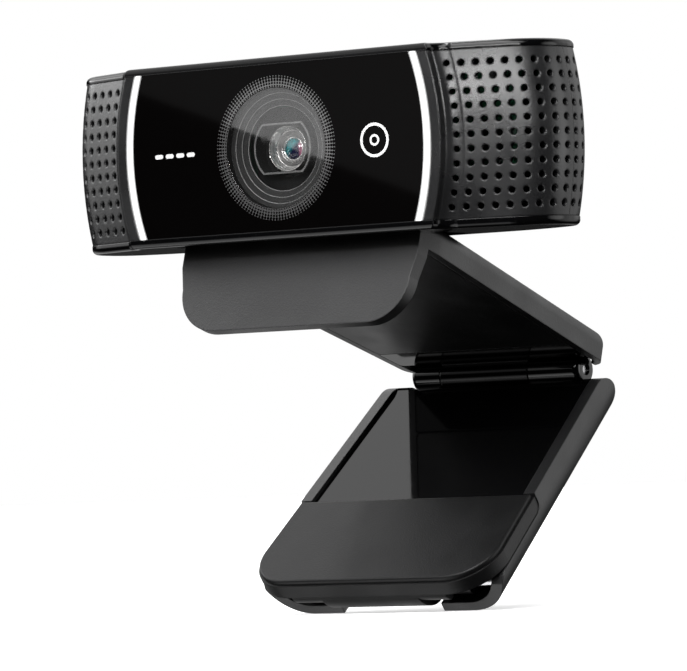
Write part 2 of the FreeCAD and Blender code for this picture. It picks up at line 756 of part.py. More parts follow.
def lip():
    """The front lip: wide at the arm, a little narrower below, with two round corners."""
    half = size("arm_half_front")
    low_half = size("lip_half")
    radius = size("lip_corner")
    bend = radius * (1 - math.sqrt(0.5))
    y = LIP_FRONT
    face = closed_face(
        [
            Vector(-half, y, ARM_TOP - 1),
            Vector(-half, y, UNDER - 1.5),
            Vector(-low_half, y, LIP_BOTTOM + radius),
            (Vector(-low_half + bend, y, LIP_BOTTOM + bend), Vector(-low_half + radius, y, LIP_BOTTOM)),
            Vector(low_half - radius, y, LIP_BOTTOM),
            (Vector(low_half - bend, y, LIP_BOTTOM + bend), Vector(low_half, y, LIP_BOTTOM + radius)),
            Vector(half, y, UNDER - 1.5),
            Vector(half, y, ARM_TOP - 1),
        ]
    )
    sheet = face.extrude(Vector(0, size("lip_root") + 1, 0))
    side = closed_face(
        [
            Vector(-30, LIP_FRONT, ARM_TOP),
            Vector(-30, LIP_FRONT, LIP_BOTTOM - 1),
            Vector(-30, LIP_FRONT + size("lip_tip"), LIP_BOTTOM - 1),
            Vector(-30, LIP_FRONT + size("lip_root"), UNDER),
            Vector(-30, LIP_FRONT + size("lip_root"), ARM_TOP),
        ]
    )
    return sheet.common(side.extrude(Vector(60, 0, 0)))


def arm_shell():
    """Arm and lip in one moulding, hollow from below, with room for the hinge barrel at its rear."""
    plate = raised(arm_plan(0, LIP_FRONT, ARM_REAR, 3.0), UNDER, ARM_TOP)

    def upper_edge(edge):
        on_top = all(abs(vertex.Z - ARM_TOP) < 1e-6 for vertex in edge.Vertexes)
        at_front = all(abs(vertex.Y - LIP_FRONT) < 1e-6 for vertex in edge.Vertexes)
        return on_top and not at_front

    plate = rounded_edges(plate, size("arm_edge"), upper_edge)
    front = -size("lip_front") + size("lip_root") + 0.8
    hollow = raised(
        arm_plan(size("arm_wall"), front, PANEL_REAR, 1.0), UNDER - 1, ARM_TOP - size("arm_roof")
    )
    rear_room = raised(arm_plan(size("arm_wall"), PANEL_REAR, ARM_REAR - 1.2, 1.0), UNDER - 1, UNDER + 1.5)
    barrel_room = Part.makeCylinder(KNUCKLE_ROOM, 2 * ROOM_HALF, Vector(-ROOM_HALF, 0, 0), AXIS_X)
    barrel_slot = slab(-ROOM_HALF, ROOM_HALF, -KNUCKLE_ROOM, KNUCKLE_ROOM, -KNUCKLE_ROOM, 0)
    shell = plate.fuse(lip()).cut([hollow, rear_room, barrel_room, barrel_slot])
    seat_floor = ARM_TOP - BRACKET_SHEET
    seat = slab(-BRACKET_HALF, BRACKET_HALF, BRACKET_FRONT, BRACKET_REAR, seat_floor, ARM_TOP + 1)
    bosses = [
        Part.makeCylinder(2.2, size("arm_thickness") - 2.4, Vector(x, BRACKET_MIDDLE, UNDER + 1.6), AXIS_Z)
        for x in BRACKET_SCREWS
    ]
    shell = shell.cut(seat).fuse(bosses)
    for x in BRACKET_SCREWS:
        shell = shell.cut(Part.makeCylinder(0.75, 8, Vector(x, BRACKET_MIDDLE, UNDER + 2.2), AXIS_Z))
    return shell.removeSplitter()


def arm_panel():
    """The flat underside of the arm, let in to the shell."""
    front = -size("lip_front") + size("lip_root") + 0.8
    plan = arm_plan(size("arm_wall") + 0.12, front + 0.12, PANEL_REAR - 0.12, 1.0)
    return raised(plan, UNDER, UNDER + 1.5)


def lip_pad():
    """A thin rubber strip on the inner face of the lip."""
    half = size("lip_half") - 4.5
    height = 7.5
    lean = (size("lip_root") - size("lip_tip")) / (size("lip_depth") + 1)
    top_y = LIP_FRONT + size("lip_root") - lean * 1.2
    low_y = top_y - lean * height
    section = closed_face(
        [
            Vector(-half, top_y, UNDER - 1.2),
            Vector(-half, low_y, UNDER - 1.2 - height),
            Vector(-half, low_y + 0.8, UNDER - 1.2 - height),
            Vector(-half, top_y + 0.8, UNDER - 1.2),
        ]
    )
    return section.extrude(Vector(2 * half, 0, 0))


def knuckle(x0, x1):
    """A stretch of the glossy barrel on the hinge axis, bored for the pin."""
    bar = Part.makeCylinder(size("knuckle_radius"), x1 - x0, Vector(x0, 0, 0), AXIS_X)
    return bar, Part.makeCylinder(PIN_HOLE, 60, Vector(-30, 0, 0), AXIS_X)


def hinge_cover():
    """The glossy piece under the arm's rear end, with the barrel's middle knuckle."""
    left = -size("middle_left") + 0.12
    right = size("middle_right") - 0.12
    bar, bore = knuckle(left, right)
    web = slab(left, right, -1.6, 1.6, 0, KNUCKLE_ROOM - 0.5)
    plate = raised(
        arm_plan(size("arm_wall") + 0.12, PANEL_REAR + 0.12, -KNUCKLE_ROOM - 0.1, 0.6), UNDER, UNDER + 1.4
    )
    bridge = slab(left, right, -6, -1, UNDER, UNDER + 1.4)
    return plate.fuse([bar, web, bridge]).cut(bore).removeSplitter()


def tilt_bracket():
    """A bent steel bracket let in to the arm: a foot and two ears round the tilt pin."""
    foot = slab(-BRACKET_HALF, BRACKET_HALF, BRACKET_FRONT, BRACKET_REAR, ARM_TOP - BRACKET_SHEET, ARM_TOP)
    pieces = []
    radius = size("tilt_knuckle")
    y, z = TILT_ON_ARM.y, TILT_ON_ARM.z
    for x in (-EAR_OUTER, EAR_INNER):
        width = EAR_OUTER - EAR_INNER
        eye = Part.makeCylinder(radius, width, Vector(x, y, z), AXIS_X)
        stem = slab(x, x + width, y - radius, y + radius, ARM_TOP - 0.1, z)
        pieces += [eye, stem]
    bore = Part.makeCylinder(PIN_HOLE, 40, Vector(-20, TILT_ON_ARM.y, TILT_ON_ARM.z), AXIS_X)
    drills = [
        Part.makeCylinder(0.85, 6, Vector(x, BRACKET_MIDDLE, ARM_TOP - 3), AXIS_Z) for x in BRACKET_SCREWS
    ] + [
        Part.makeCylinder(1.45, 2, Vector(x, BRACKET_MIDDLE, ARM_TOP - 0.5), AXIS_Z) for x in BRACKET_SCREWS
    ]
    return foot.fuse(pieces).cut([bore] + drills).removeSplitter()


def washer(x, length, centre, outer):
    ring = Part.makeCylinder(outer, length, Vector(x, centre.y, centre.z), AXIS_X)
    return ring.cut(Part.makeCylinder(PIN_HOLE, length + 2, Vector(x - 1, centre.y, centre.z), AXIS_X))


node("arm_shell", "arm", formed("ArmShell", arm_shell()))
node("arm_panel", "arm", formed("ArmPanel", arm_panel()))
node("lip_pad", "arm", formed("LipPad", lip_pad()))
node("hinge_cover", "arm", formed("HingeCover", hinge_cover()))
node("tilt_bracket", "arm", formed("TiltBracket", tilt_bracket()))
PIN_HALF = EAR_OUTER + 0.1
pin_place = (str(TILT_ON_ARM.y), str(TILT_ON_ARM.z), "X")
pin_shaft = rod("TiltShaft", "Sizes.pin_radius", str(2 * PIN_HALF), str(-PIN_HALF), *pin_place)
pin_heads = [
    rod(f"TiltHead{index}", "1.7", "0.6", str(start), *pin_place)
    for index, start in enumerate((-PIN_HALF - 0.6, PIN_HALF))
]
node("tilt_pin", "arm", join("TiltPin", pin_shaft, *pin_heads))
washer_starts = (-BLOCK_HALF - 0.28, BLOCK_HALF + 0.08)
node(
    "tilt_washers",
    "arm",
    several("TiltWashers", [washer(x, 0.2, TILT_ON_ARM, 1.9) for x in washer_starts]),
)
bracket_screw_places = [Vector(x, BRACKET_MIDDLE, ARM_TOP - 0.5) for x in BRACKET_SCREWS]
node(
    "bracket_screws",
    "arm",
    several(
        "BracketScrews",
        [screw(place, -AXIS_Z, 1.4, 0.5, 0.75, 2.4) for place in bracket_screw_places],
    ),
)

# ---------------------------------------------------------------- leg, in its own frame

RIM = size("leg_rim")
LEG_BOTTOM = -size("leg_bottom")
LEG_FRONT = -size("leg_length")
LEG_REAR = -size("leg_rear")
LINER_TOP = RIM - size("liner_drop")
LINER_UNDER = LINER_TOP - size("liner_thickness")
LINER_FRONT = -size("foot_rear") + 0.25
THREAD_Y = -size("thread_depth")
FOOT_AXIS = Vector(0, -size("foot_axis"), -size("foot_axis_drop"))
FOOT_PLATE_TOP = size("foot_top") - size("foot_pad_thickness")
FOOT_PLATE_UNDER = FOOT_PLATE_TOP - size("foot_plate_thickness")
LINER_SCREWS = [(x, y) for x in (-11.0, 11.0) for y in (-9.0, -31.0)]
FOOT_PIN_LENGTH = 42.6


def leg_half(y):
    """Half width of the leg at a distance along it."""
    share = -y / size("leg_length")
    return size("leg_half_rear") + share * (size("leg_half_front") - size("leg_half_rear"))


def leg_section(y, inset, bottom, top, radius):
    """The leg's U-shaped outline at a distance along it, closed across the top."""
    half = leg_half(y) - inset
    bend = radius * (1 - math.sqrt(0.5))
    return closed_face(
        [
            Vector(-half, y, top),
            Vector(-half, y, bottom + radius),
            (Vector(-half + bend, y, bottom + bend), Vector(-half + radius, y, bottom)),
            Vector(half - radius, y, bottom),
            (Vector(half - bend, y, bottom + bend), Vector(half, y, bottom + radius)),
            Vector(half, y, top),
        ]
    ).OuterWire


def leg_bar(y0, y1, inset, bottom, top, radius):
    """A straight, tapered length of the leg's section."""
    ends = [leg_section(y, inset, bottom, top, radius) for y in (y0, y1)]
    return Part.makeLoft(ends, True, True)


def rear_round(y, bottom, top, radius, low):
    """A side view block with a round lower rear corner, to shape the leg's rear end."""
    bend = low * (1 - math.sqrt(0.5))
    face = closed_face(
        [
            Vector(-40, -80, top),
            Vector(-40, -80, bottom),
            Vector(-40, y - low, bottom),
            (Vector(-40, y - bend, bottom + bend), Vector(-40, y, bottom + low)),
            Vector(-40, y, top - radius),
            (
                Vector(-40, y - radius * (1 - math.sqrt(0.5)), top - radius * (1 - math.sqrt(0.5))),
                Vector(-40, y - radius, top),
            ),
        ]
    )
    return face.extrude(Vector(80, 0, 0))


def leg_shell():
    """The tray-shaped leg: floor, two tapered walls, a rear wall under the barrel and two front hooks."""
    floor_top = LEG_BOTTOM + size("leg_floor")
    outer = leg_bar(LEG_REAR, LEG_FRONT, 0, LEG_BOTTOM, RIM, size("leg_round"))
    outer = outer.common(rear_round(LEG_REAR, LEG_BOTTOM, RIM, size("leg_shoulder"), size("leg_heel")))
    inner_radius = size("leg_round") - size("leg_floor")
    wall = size("leg_wall")
    inner = leg_bar(LEG_REAR - 1.8, LEG_FRONT - 1, wall, floor_top, RIM + 1, inner_radius)
    shell = outer.cut(inner)
    barrel = Part.makeCylinder(KNUCKLE_ROOM, 2 * ROOM_HALF, Vector(-ROOM_HALF, 0, 0), AXIS_X)
    over_barrel = slab(-ROOM_HALF, ROOM_HALF, -KNUCKLE_ROOM, 2, -KNUCKLE_ROOM + 1.5, 3)
    notch_floor = FOOT_PLATE_UNDER - 0.15
    notch_rear = -size("foot_rear") + 0.15
    lowered = slab(-30, 30, LEG_FRONT - 1, notch_rear, notch_floor, RIM + 1)

    def notch_corner(edge):
        return all(abs(v.Y - notch_rear) < 1e-6 and abs(v.Z - notch_floor) < 1e-6 for v in edge.Vertexes)

    lowered = rounded_edges(lowered, size("notch_round"), notch_corner)
    gap = size("hook_gap")
    slot = slab(-gap, gap, LEG_FRONT - 1, -size("foot_axis") + 6.2, LEG_BOTTOM - 1, floor_top + 0.5)
    swing_block = slab(-30, 30, LEG_FRONT - 1, FOOT_AXIS.y, FOOT_AXIS.z, 1)
    swing_radius = FOOT_PLATE_UNDER - FOOT_AXIS.z - 0.15
    swing = swing_block.cut(Part.makeCylinder(swing_radius, 60, FOOT_AXIS - AXIS_X * 30, AXIS_X))
    shell = shell.cut([barrel, over_barrel, lowered, slot, swing])
    boss = Part.makeCylinder(6.2, LINER_UNDER - 0.2 - LEG_BOTTOM, Vector(0, THREAD_Y, LEG_BOTTOM), AXIS_Z)
    shell = shell.fuse(boss)
    pin_end = FOOT_AXIS - AXIS_X * (FOOT_PIN_LENGTH / 2 + 0.3)
    insert_room = Part.makeCylinder(
        size("insert_radius"), size("thread_length") + 1, Vector(0, THREAD_Y, LEG_BOTTOM - 1), AXIS_Z
    )
    pin_hole = Part.makeCylinder(PIN_HOLE, FOOT_PIN_LENGTH + 0.6, pin_end, AXIS_X)
    shell = shell.cut([insert_room, pin_hole])
    for x, y in LINER_SCREWS:
        well = Part.makeCylinder(2.0, 1.0, Vector(x, y, LEG_BOTTOM - 0.01), AXIS_Z)
        hole = Part.makeCylinder(0.9, 4, Vector(x, y, LEG_BOTTOM - 1), AXIS_Z)
        shell = shell.cut([well, hole])
    return shell.removeSplitter()


def leg_liner():
    """The glossy tray inside the leg, with the barrel's two outer knuckles and four screw bosses."""
    inset = size("leg_wall") + 0.12
    front = LINER_FRONT
    rear = -KNUCKLE_ROOM - 0.4
    points = [
        Vector(-leg_half(front) + inset, front, LINER_UNDER),
        Vector(-leg_half(rear) + inset, rear, LINER_UNDER),
        Vector(leg_half(rear) - inset, rear, LINER_UNDER),
        Vector(leg_half(front) - inset, front, LINER_UNDER),
    ]
    panel = closed_face(points).extrude(Vector(0, 0, LINER_TOP - LINER_UNDER))
    pieces = []
    half = size("barrel_half")
    spans = ((-half, -size("middle_left") - 0.12), (size("middle_right") + 0.12, half))
    for x0, x1 in spans:
        bar, bore = knuckle(x0, x1)
        outer_end = x0 if x0 < 0 else x1

        def end_ring(edge, end=outer_end):
            return all(abs(vertex.X - end) < 1e-6 for vertex in edge.Vertexes)

        bar = rounded_edges(bar, 1.1, end_ring)
        end_in = 1.2
        neck_start = x0 + end_in if x0 < 0 else x0
        neck_end = x1 if x0 < 0 else x1 - end_in
        pieces += [bar, slab(neck_start, neck_end, rear - 0.2, 0, LINER_UNDER, LINER_TOP)]
    for x, y in LINER_SCREWS:
        pieces.append(Part.makeCylinder(2.0, 4.0, Vector(x, y, LINER_UNDER - 4.0), AXIS_Z))
    liner = panel.fuse(pieces).cut(bore)
    for x, y in LINER_SCREWS:
        liner = liner.cut(Part.makeCylinder(0.7, 5, Vector(x, y, LINER_UNDER - 5.0), AXIS_Z))
    return liner.removeSplitter()


node("leg_shell", "leg", formed("LegShell", leg_shell()))
node("leg_liner", "leg", formed("LegLiner", leg_liner()))

# A brass bush with the tripod thread's wall, flush with the leg's underside, blind at its top.
insert_place = ("0", "-Sizes.thread_depth", "-Sizes.leg_bottom")
insert_blank = rod("InsertBlank", "Sizes.insert_radius", "Sizes.thread_length", *insert_place)
insert_thread = rod("InsertThread", "Sizes.thread_radius", "Sizes.thread_length", *insert_place)
node("tripod_insert", "leg", cut("TripodInsert", insert_blank, insert_thread))
hinge_pin = rod(
    "HingePin", "Sizes.pin_radius", "2 * Sizes.barrel_half - 1", "0.5 - Sizes.barrel_half", "0", "0", "X"
)
node("hinge_pin", "leg", hinge_pin)
hinge_washer_starts = (-size("middle_left") - 0.08, size("middle_right") - 0.08)
node(
    "hinge_washers",
    "leg",
    several("HingeWashers", [washer(x, 0.16, Vector(), 2.4) for x in hinge_washer_starts]),
)
node(
    "liner_screws",
    "leg",
    several(
        "LinerScrews",
        [screw(Vector(x, y, LEG_BOTTOM + 0.95), AXIS_Z, 1.7, 0.9, 0.7, 4.5) for x, y in LINER_SCREWS],
    ),
)
foot_pin = rod(
    "FootPin",
    "Sizes.pin_radius",
    str(FOOT_PIN_LENGTH),
    str(-FOOT_PIN_LENGTH / 2),
    "-Sizes.foot_axis",
    "-Sizes.foot_axis_drop",
    "X",
)
node("foot_pin", "leg", foot_pin)

# ---------------------------------------------------------------- foot flap, in the leg's frame


def foot_outline(inset, z):
    """The flap's outline: straight behind, tapered sides, two round front corners."""
    rear = -size("foot_rear") - inset
    front = -size("foot_front") + inset
    radius = size("foot_corner") - inset
    trim = size("foot_inset") + inset
    rear_half = leg_half(rear) - trim
    front_half = leg_half(front + radius) - trim
    bend = radius * (1 - math.sqrt(0.5))
    return closed_face(
        [
            Vector(-rear_half, rear, z),
            Vector(-front_half, front + radius, z),
            (Vector(-front_half + bend, front + bend, z), Vector(-front_half + radius, front, z)),
            Vector(front_half - radius, front, z),
            (Vector(front_half - bend, front + bend, z), Vector(front_half, front + radius, z)),
            Vector(rear_half, rear, z),
        ]
    )


def foot_skirt(half, low_y, low_z, inner):
    """A curved apron under the flap's front edge."""
    front = -size("foot_front") + 0.25
    top = FOOT_PLATE_UNDER + 0.3
    middle = Vector(-half, front + (low_y - front) * 0.25, top + (low_z - top) * 0.6)
    face = closed_face(
        [
            Vector(-half, front, top),
            (middle, Vector(-half, low_y, low_z)),
            Vector(-half, low_y + 0.9, low_z),
            Vector(-half, inner, top - 1.2),
            Vector(-half, inner, top),
        ]
    )
    return face.extrude(Vector(2 * half, 0, 0))


def foot_plate():
    """The flap: a plate with a shallow apron in front and a deeper one between the hooks."""
    plate = foot_outline(0, FOOT_PLATE_UNDER).extrude(Vector(0, 0, size("foot_plate_thickness")))

    def lower_rear_edge(edge):
        return all(
            abs(v.Y + size("foot_rear")) < 1e-6 and abs(v.Z - FOOT_PLATE_UNDER) < 1e-6 for v in edge.Vertexes
        )

    plate = rounded_edges(plate, size("notch_round"), lower_rear_edge)
    shallow = foot_skirt(15.0, -53.9, -4.3, -53.2)
    deep = foot_skirt(size("hook_gap") - 0.35, -50.4, -7.6, -53.0)
    return plate.fuse([shallow, deep]).removeSplitter()


def foot_pad():
    """The soft pad on the flap, its upper edge eased."""
    pad = foot_outline(0.35, FOOT_PLATE_TOP).extrude(Vector(0, 0, size("foot_pad_thickness")))
    top = size("foot_top")

    def upper_edge(edge):
        return all(abs(vertex.Z - top) < 1e-6 for vertex in edge.Vertexes)

    return rounded_edges(pad, 0.4, upper_edge)


def foot_carrier():
    """The glossy hinge bar under the flap: two knuckles on the pin and a web to the plate."""
    radius = size("foot_knuckle")
    pieces = []
    y, z = FOOT_AXIS.y, FOOT_AXIS.z
    for x0, x1 in ((-16.2, -10.3), (10.3, 16.2)):
        bar = Part.makeCylinder(radius, x1 - x0, Vector(x0, y, z), AXIS_X)
        web = slab(x0 + 0.6, x1 - 0.6, y - 1.6, y + 1.6, z, FOOT_PLATE_UNDER - 0.8)
        pieces += [bar, web]
    base = slab(-16.2, 16.2, y - 2.4, y + 9, FOOT_PLATE_UNDER - 0.9, FOOT_PLATE_UNDER)
    bore = Part.makeCylinder(PIN_HOLE, 60, FOOT_AXIS - AXIS_X * 30, AXIS_X)
    return base.fuse(pieces).cut(bore).removeSplitter()


node("foot_plate", "leg", formed("FootPlate", foot_plate()))
node("foot_pad", "leg", formed("FootPad", foot_pad()))
node("foot_carrier", "leg", formed("FootCarrier", foot_carrier()))

# ---------------------------------------------------------------- check and write

DOC.recompute()
for thing in DOC.Objects:
    faults = {"Invalid", "Error"} & set(thing.State)
    if faults:
        raise RuntimeError(f"{thing.Label}: {faults}")
for thing in NODES:
    if thing.Shape.isNull() or not thing.Shape.isValid():
        raise RuntimeError(f"{thing.Label}: no valid shape")

os.makedirs("parts", exist_ok=True)
for thing in NODES:
    thing.Shape.exportStep(f"parts/{thing.Label}.step")
print(f"{len(NODES)} sub-parts written")
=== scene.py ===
import math

import bmesh
import bpy
from mathutils import Matrix, Vector


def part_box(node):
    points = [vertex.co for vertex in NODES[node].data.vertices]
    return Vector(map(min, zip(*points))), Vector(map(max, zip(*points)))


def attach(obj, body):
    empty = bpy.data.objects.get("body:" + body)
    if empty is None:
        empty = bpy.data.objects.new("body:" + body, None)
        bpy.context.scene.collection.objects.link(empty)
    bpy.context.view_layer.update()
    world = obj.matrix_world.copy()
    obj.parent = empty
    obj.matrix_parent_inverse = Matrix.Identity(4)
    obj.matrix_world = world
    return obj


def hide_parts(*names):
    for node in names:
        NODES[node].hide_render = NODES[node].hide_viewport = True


# Looks for the webcam on its folding clip. Metres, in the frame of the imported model: +Z up, the lens looks
# along -Y, and the origin is the mouth of the tripod thread under the leg.

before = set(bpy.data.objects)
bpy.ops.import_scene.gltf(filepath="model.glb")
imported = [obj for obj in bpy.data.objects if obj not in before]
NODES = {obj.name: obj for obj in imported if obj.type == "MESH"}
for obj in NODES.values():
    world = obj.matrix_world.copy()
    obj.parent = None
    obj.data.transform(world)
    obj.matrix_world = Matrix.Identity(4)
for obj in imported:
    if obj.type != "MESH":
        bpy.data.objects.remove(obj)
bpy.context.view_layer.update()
MM = 0.001

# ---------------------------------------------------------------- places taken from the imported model

HEAD_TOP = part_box("top_cover")[1].z
HEAD_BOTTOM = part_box("bottom_cover")[0].z
OBJECT_LOW = min(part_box(name)[0].z for name in NODES)
# The middle of the front plate's face. The lens axis passes through it, and places given on the plate or
# behind it count from here.
PLATE = Vector((0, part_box("front_window")[0].y, (HEAD_TOP + HEAD_BOTTOM) / 2))

# ---------------------------------------------------------------- tools for materials

# The part of its range that a noise mostly fills.
NOISE_LOW = 0.3
NOISE_HIGH = 0.7
# Sockets of the colour form of the Mix node.
MIX_FACTOR = 0
MIX_FIRST = 6
MIX_SECOND = 7
MIX_RESULT = 2
EASE_SAMPLES = 4
WHITE_LIGHT = (1, 1, 1, 1)


def add_node(tree, kind, *inputs, **settings):
    """Add a node to a tree, with each given input linked to another node or set to a constant."""
    made = tree.nodes.new(kind)
    for key, value in settings.items():
        setattr(made, key, value)
    for socket, value in inputs:
        if hasattr(value, "is_output"):
            tree.links.new(value, made.inputs[socket])
        else:
            made.inputs[socket].default_value = value
    return made


class Shade:
    """A node material with a Principled shader and short helpers for its inputs."""

    def __init__(self, name, colour, rough, **constants):
        self.material = bpy.data.materials.new(name)
        self.material.use_nodes = True
        self.tree = self.material.node_tree
        self.tree.nodes.clear()
        self.shader = self.node("ShaderNodeBsdfPrincipled", ("Base Color", (*colour, 1)))
        self.shader.inputs["Roughness"].default_value = rough
        self.node("ShaderNodeOutputMaterial", (0, self.shader.outputs[0]))
        for key, value in constants.items():
            self.shader.inputs[key.replace("_", " ")].default_value = value
        self.place = self.node("ShaderNodeTexCoord").outputs["Object"]

    def node(self, kind, *inputs, **settings):
        return add_node(self.tree, kind, *inputs, **settings)

    def noise(self, scale, detail=2.0, rough=0.5):
        made = self.node(
            "ShaderNodeTexNoise",
            ("Vector", self.place),
            ("Scale", scale),
            ("Detail", detail),
            ("Roughness", rough),
        )
        return made.outputs["Fac"]

    def math(self, operation, a, b=0.0, c=0.0):
        return self.node("ShaderNodeMath", (0, a), (1, b), (2, c), operation=operation).outputs[0]

    def times(self, first, *others):
        product = first
        for other in others:
            product = self.math("MULTIPLY", product, other)
        return product

    def length(self, a, b):
        """The long side of a right-angled triangle."""
        return self.math("SQRT", self.math("ADD", self.times(a, a), self.times(b, b)))

    def span(self, value, low, high, out_low, out_high):
        """Follow a value smoothly from one pair of ends to another, and stay there beyond them."""
        made = self.node(
            "ShaderNodeMapRange",
            ("Value", value),
            ("From Min", low),
            ("From Max", high),
            ("To Min", out_low),
            ("To Max", out_high),
            interpolation_type="SMOOTHSTEP",
        )
        return made.outputs[0]

    def varied(self, noise, low, high):
        """A noise stretched to fill the range between two values."""
        return self.span(noise, NOISE_LOW, NOISE_HIGH, low, high)

    def blend(self, factor, first, second):
        """Mix two colours, either of which may come from another node."""
        colours = [value if hasattr(value, "is_output") else (*value, 1) for value in (first, second)]
        made = self.node(
            "ShaderNodeMix",
            (MIX_FACTOR, factor),
            (MIX_FIRST, colours[0]),
            (MIX_SECOND, colours[1]),
            data_type="RGBA",
        )
        return made.outputs[MIX_RESULT]

    def from_lens(self):
        """How far a point lies to the right of the lens axis and above it."""
        split = self.node("ShaderNodeSeparateXYZ", (0, self.place))
        return split.outputs[0], self.math("SUBTRACT", split.outputs[2], PLATE.z)

    def drive(self, socket, source):
        self.tree.links.new(source, self.shader.inputs[socket])

    def polish(self, noise, rough, spread):
        """Let the roughness follow a noise, up to the spread either way."""
        self.drive("Roughness", self.varied(noise, rough - spread, rough + spread))

    def bump(self, height, distance, strength=1.0, below=None):
        inputs = [("Height", height), ("Distance", distance), ("Strength", strength)]
        if below is not None:
            inputs.append(("Normal", below))
        self.drive("Normal", self.node("ShaderNodeBump", *inputs).outputs[0])

    def eased(self, radius):
        """The slight rounding that every moulded edge has, or nothing for a radius of 0."""
        if radius == 0:
            return None
        return self.node("ShaderNodeBevel", ("Radius", radius), samples=EASE_SAMPLES).outputs[0]


def grey(level, blue=0.0):
    """A grey, with a little more blue where that is asked for."""
    return (level, level, level + blue)


# ---------------------------------------------------------------- plain mouldings and metals

MOULD_SLOW_SCALE = 90
MOULD_FINE_SHARE = 0.6
MOULD_SPREAD = 0.06


def moulded(name, dark, light, rough, grain, depth, ease=0.0, **constants):
    """Moulded plastic: fine eroded grain, and slow changes of colour and polish."""
    shade = Shade(name, dark, rough, **constants)
    slow = shade.noise(MOULD_SLOW_SCALE, 3)
    fine = shade.noise(grain, 3, 0.6)
    mixed = shade.math("MULTIPLY_ADD", fine, MOULD_FINE_SHARE, shade.times(slow, 1 - MOULD_FINE_SHARE))
    shade.drive("Base Color", shade.blend(shade.varied(mixed, 0, 1), dark, light))
    shade.polish(slow, rough, MOULD_SPREAD)
    shade.bump(fine, depth, below=shade.eased(ease))
    return shade


WIPE_SCALE = 420
WIPE_START = 0.45
WIPE_FULL = 0.75
WIPE_ROUGHENS = 0.04
SPECK_SCALE = 2600
SPECK_START = 0.62
SPECK_FULL = 0.8
SPECK_LIGHTENS = 0.006
WAVE_SCALE = 160
WAVE_DEPTH = 0.02 * MM
WAVE_STRENGTH = 0.05


def glossy(name, dark, rough, ease=0.0, **constants):
    """High-gloss moulding: faint waviness, a few wiped marks and pale specks."""
    shade = Shade(name, dark, rough, **constants)
    wipe = shade.noise(WIPE_SCALE, 6, 0.65)
    shade.drive("Roughness", shade.span(wipe, WIPE_START, WIPE_FULL, rough, rough + WIPE_ROUGHENS))
    speck = shade.span(shade.noise(SPECK_SCALE), SPECK_START, SPECK_FULL, 0, 1)
    shade.drive("Base Color", shade.blend(speck, dark, tuple(part + SPECK_LIGHTENS for part in dark)))
    shade.bump(shade.noise(WAVE_SCALE), WAVE_DEPTH, WAVE_STRENGTH, shade.eased(ease))
    return shade


SATIN = moulded(
    "satin_moulding", grey(0.010, 0.0005), grey(0.017, 0.0005), 0.4, 3600, 0.04 * MM, ease=0.3 * MM
)
GRILLE = moulded(
    "grille_moulding", grey(0.008, 0.0005), grey(0.014, 0.0005), 0.28, 3000, 0.02 * MM, ease=0.4 * MM
)
FLAP = moulded(
    "flap_moulding", grey(0.005, 0.0002), grey(0.009, 0.0003), 0.4, 3600, 0.04 * MM,
    ease=0.2 * MM, Specular_IOR_Level=0.22,
)
RUBBER = moulded("rubber_pad", grey(0.009), grey(0.015), 0.46, 2600, 0.05 * MM)
INNER = moulded("inner_moulding", grey(0.004), grey(0.008), 0.5, 2000, 0.03 * MM)
GLOSS = glossy("gloss_moulding", grey(0.0015, 0.0002), 0.05)
COVER = glossy("gloss_cover", grey(0.0015, 0.0002), 0.06, ease=0.2 * MM, Specular_IOR_Level=0.3)
HINGE = glossy("gloss_hinge", grey(0.0012, 0.0001), 0.06, ease=0.3 * MM, Specular_IOR_Level=0.22)
STEEL = moulded("plated_steel", grey(0.5, 0.01), grey(0.62, 0.01), 0.28, 5000, 0.01 * MM, Metallic=1.0)
BRASS = moulded("turned_brass", (0.62, 0.44, 0.17), (0.75, 0.57, 0.26), 0.3, 4000, 0.01 * MM, Metallic=1.0)
BOARD = moulded("solder_mask", (0.006, 0.06, 0.025), (0.012, 0.1, 0.045), 0.35, 900, 0.02 * MM)
WHITE = moulded("white_nylon", (0.7, 0.69, 0.64), (0.8, 0.79, 0.75), 0.45, 1500, 0.02 * MM)
FILTER = moulded("filter_glass", (0.10, 0.02, 0.03), (0.16, 0.04, 0.05), 0.1, 1200, 0.005 * MM)
# The hood's rim: a pale grey ring on the black hood, a painted highlight.
HOOD_HIGHLIGHT = moulded("hood_rim_painted_highlight", grey(0.16), grey(0.22), 0.35, 2400, 0.005 * MM)
PRINT = moulded("pale_print", grey(0.60), grey(0.68), 0.4, 3000, 0.003 * MM)

# ---------------------------------------------------------------- lit strips

STRIP_FADE = 0.42
STRIP_EDGE = 0.02
STRIP_GLOW_LOW = 1.5
STRIP_GLOW_HIGH = 1.9
STRIP_SKIN = 0.1 * MM
STRIP_TIP = 0.3 * MM


def lit_strip():
    """A bowed strip of light that fades towards both of its long edges, measured on the right-hand strip."""
    shade = Shade("lit_strip", grey(0.2), 0.3, Emission_Color=WHITE_LIGHT)
    low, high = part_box("light_pipe_right")
    vertices = NODES["light_pipe_right"].data.vertices
    front = [vertex.co for vertex in vertices if vertex.co.y < low.y + STRIP_SKIN]
    tip = [point.x for point in front if point.z > high.z - STRIP_TIP]
    outer = max(point.x for point in front)
    outer_tip = max(tip)
    width = outer_tip - min(tip)
    right, above = shade.from_lens()
    up = shade.math("DIVIDE", above, high.z - PLATE.z)
    bow = shade.times(up, up, outer - outer_tip)
    straightened = shade.math("ADD", shade.math("ABSOLUTE", right), bow)
    across = shade.math("SUBTRACT", straightened, outer - width)
    inner_fade = shade.span(across, 0, STRIP_FADE * width, STRIP_EDGE, 1)
    outer_fade = shade.span(across, width, (1 - STRIP_FADE) * width, STRIP_EDGE, 1)
    glow = shade.varied(shade.noise(300), STRIP_GLOW_LOW, STRIP_GLOW_HIGH)
    shade.drive("Emission Strength", shade.times(inner_fade, outer_fade, glow))
    return shade


STRIP = lit_strip()

# ---------------------------------------------------------------- front plate and clear disc

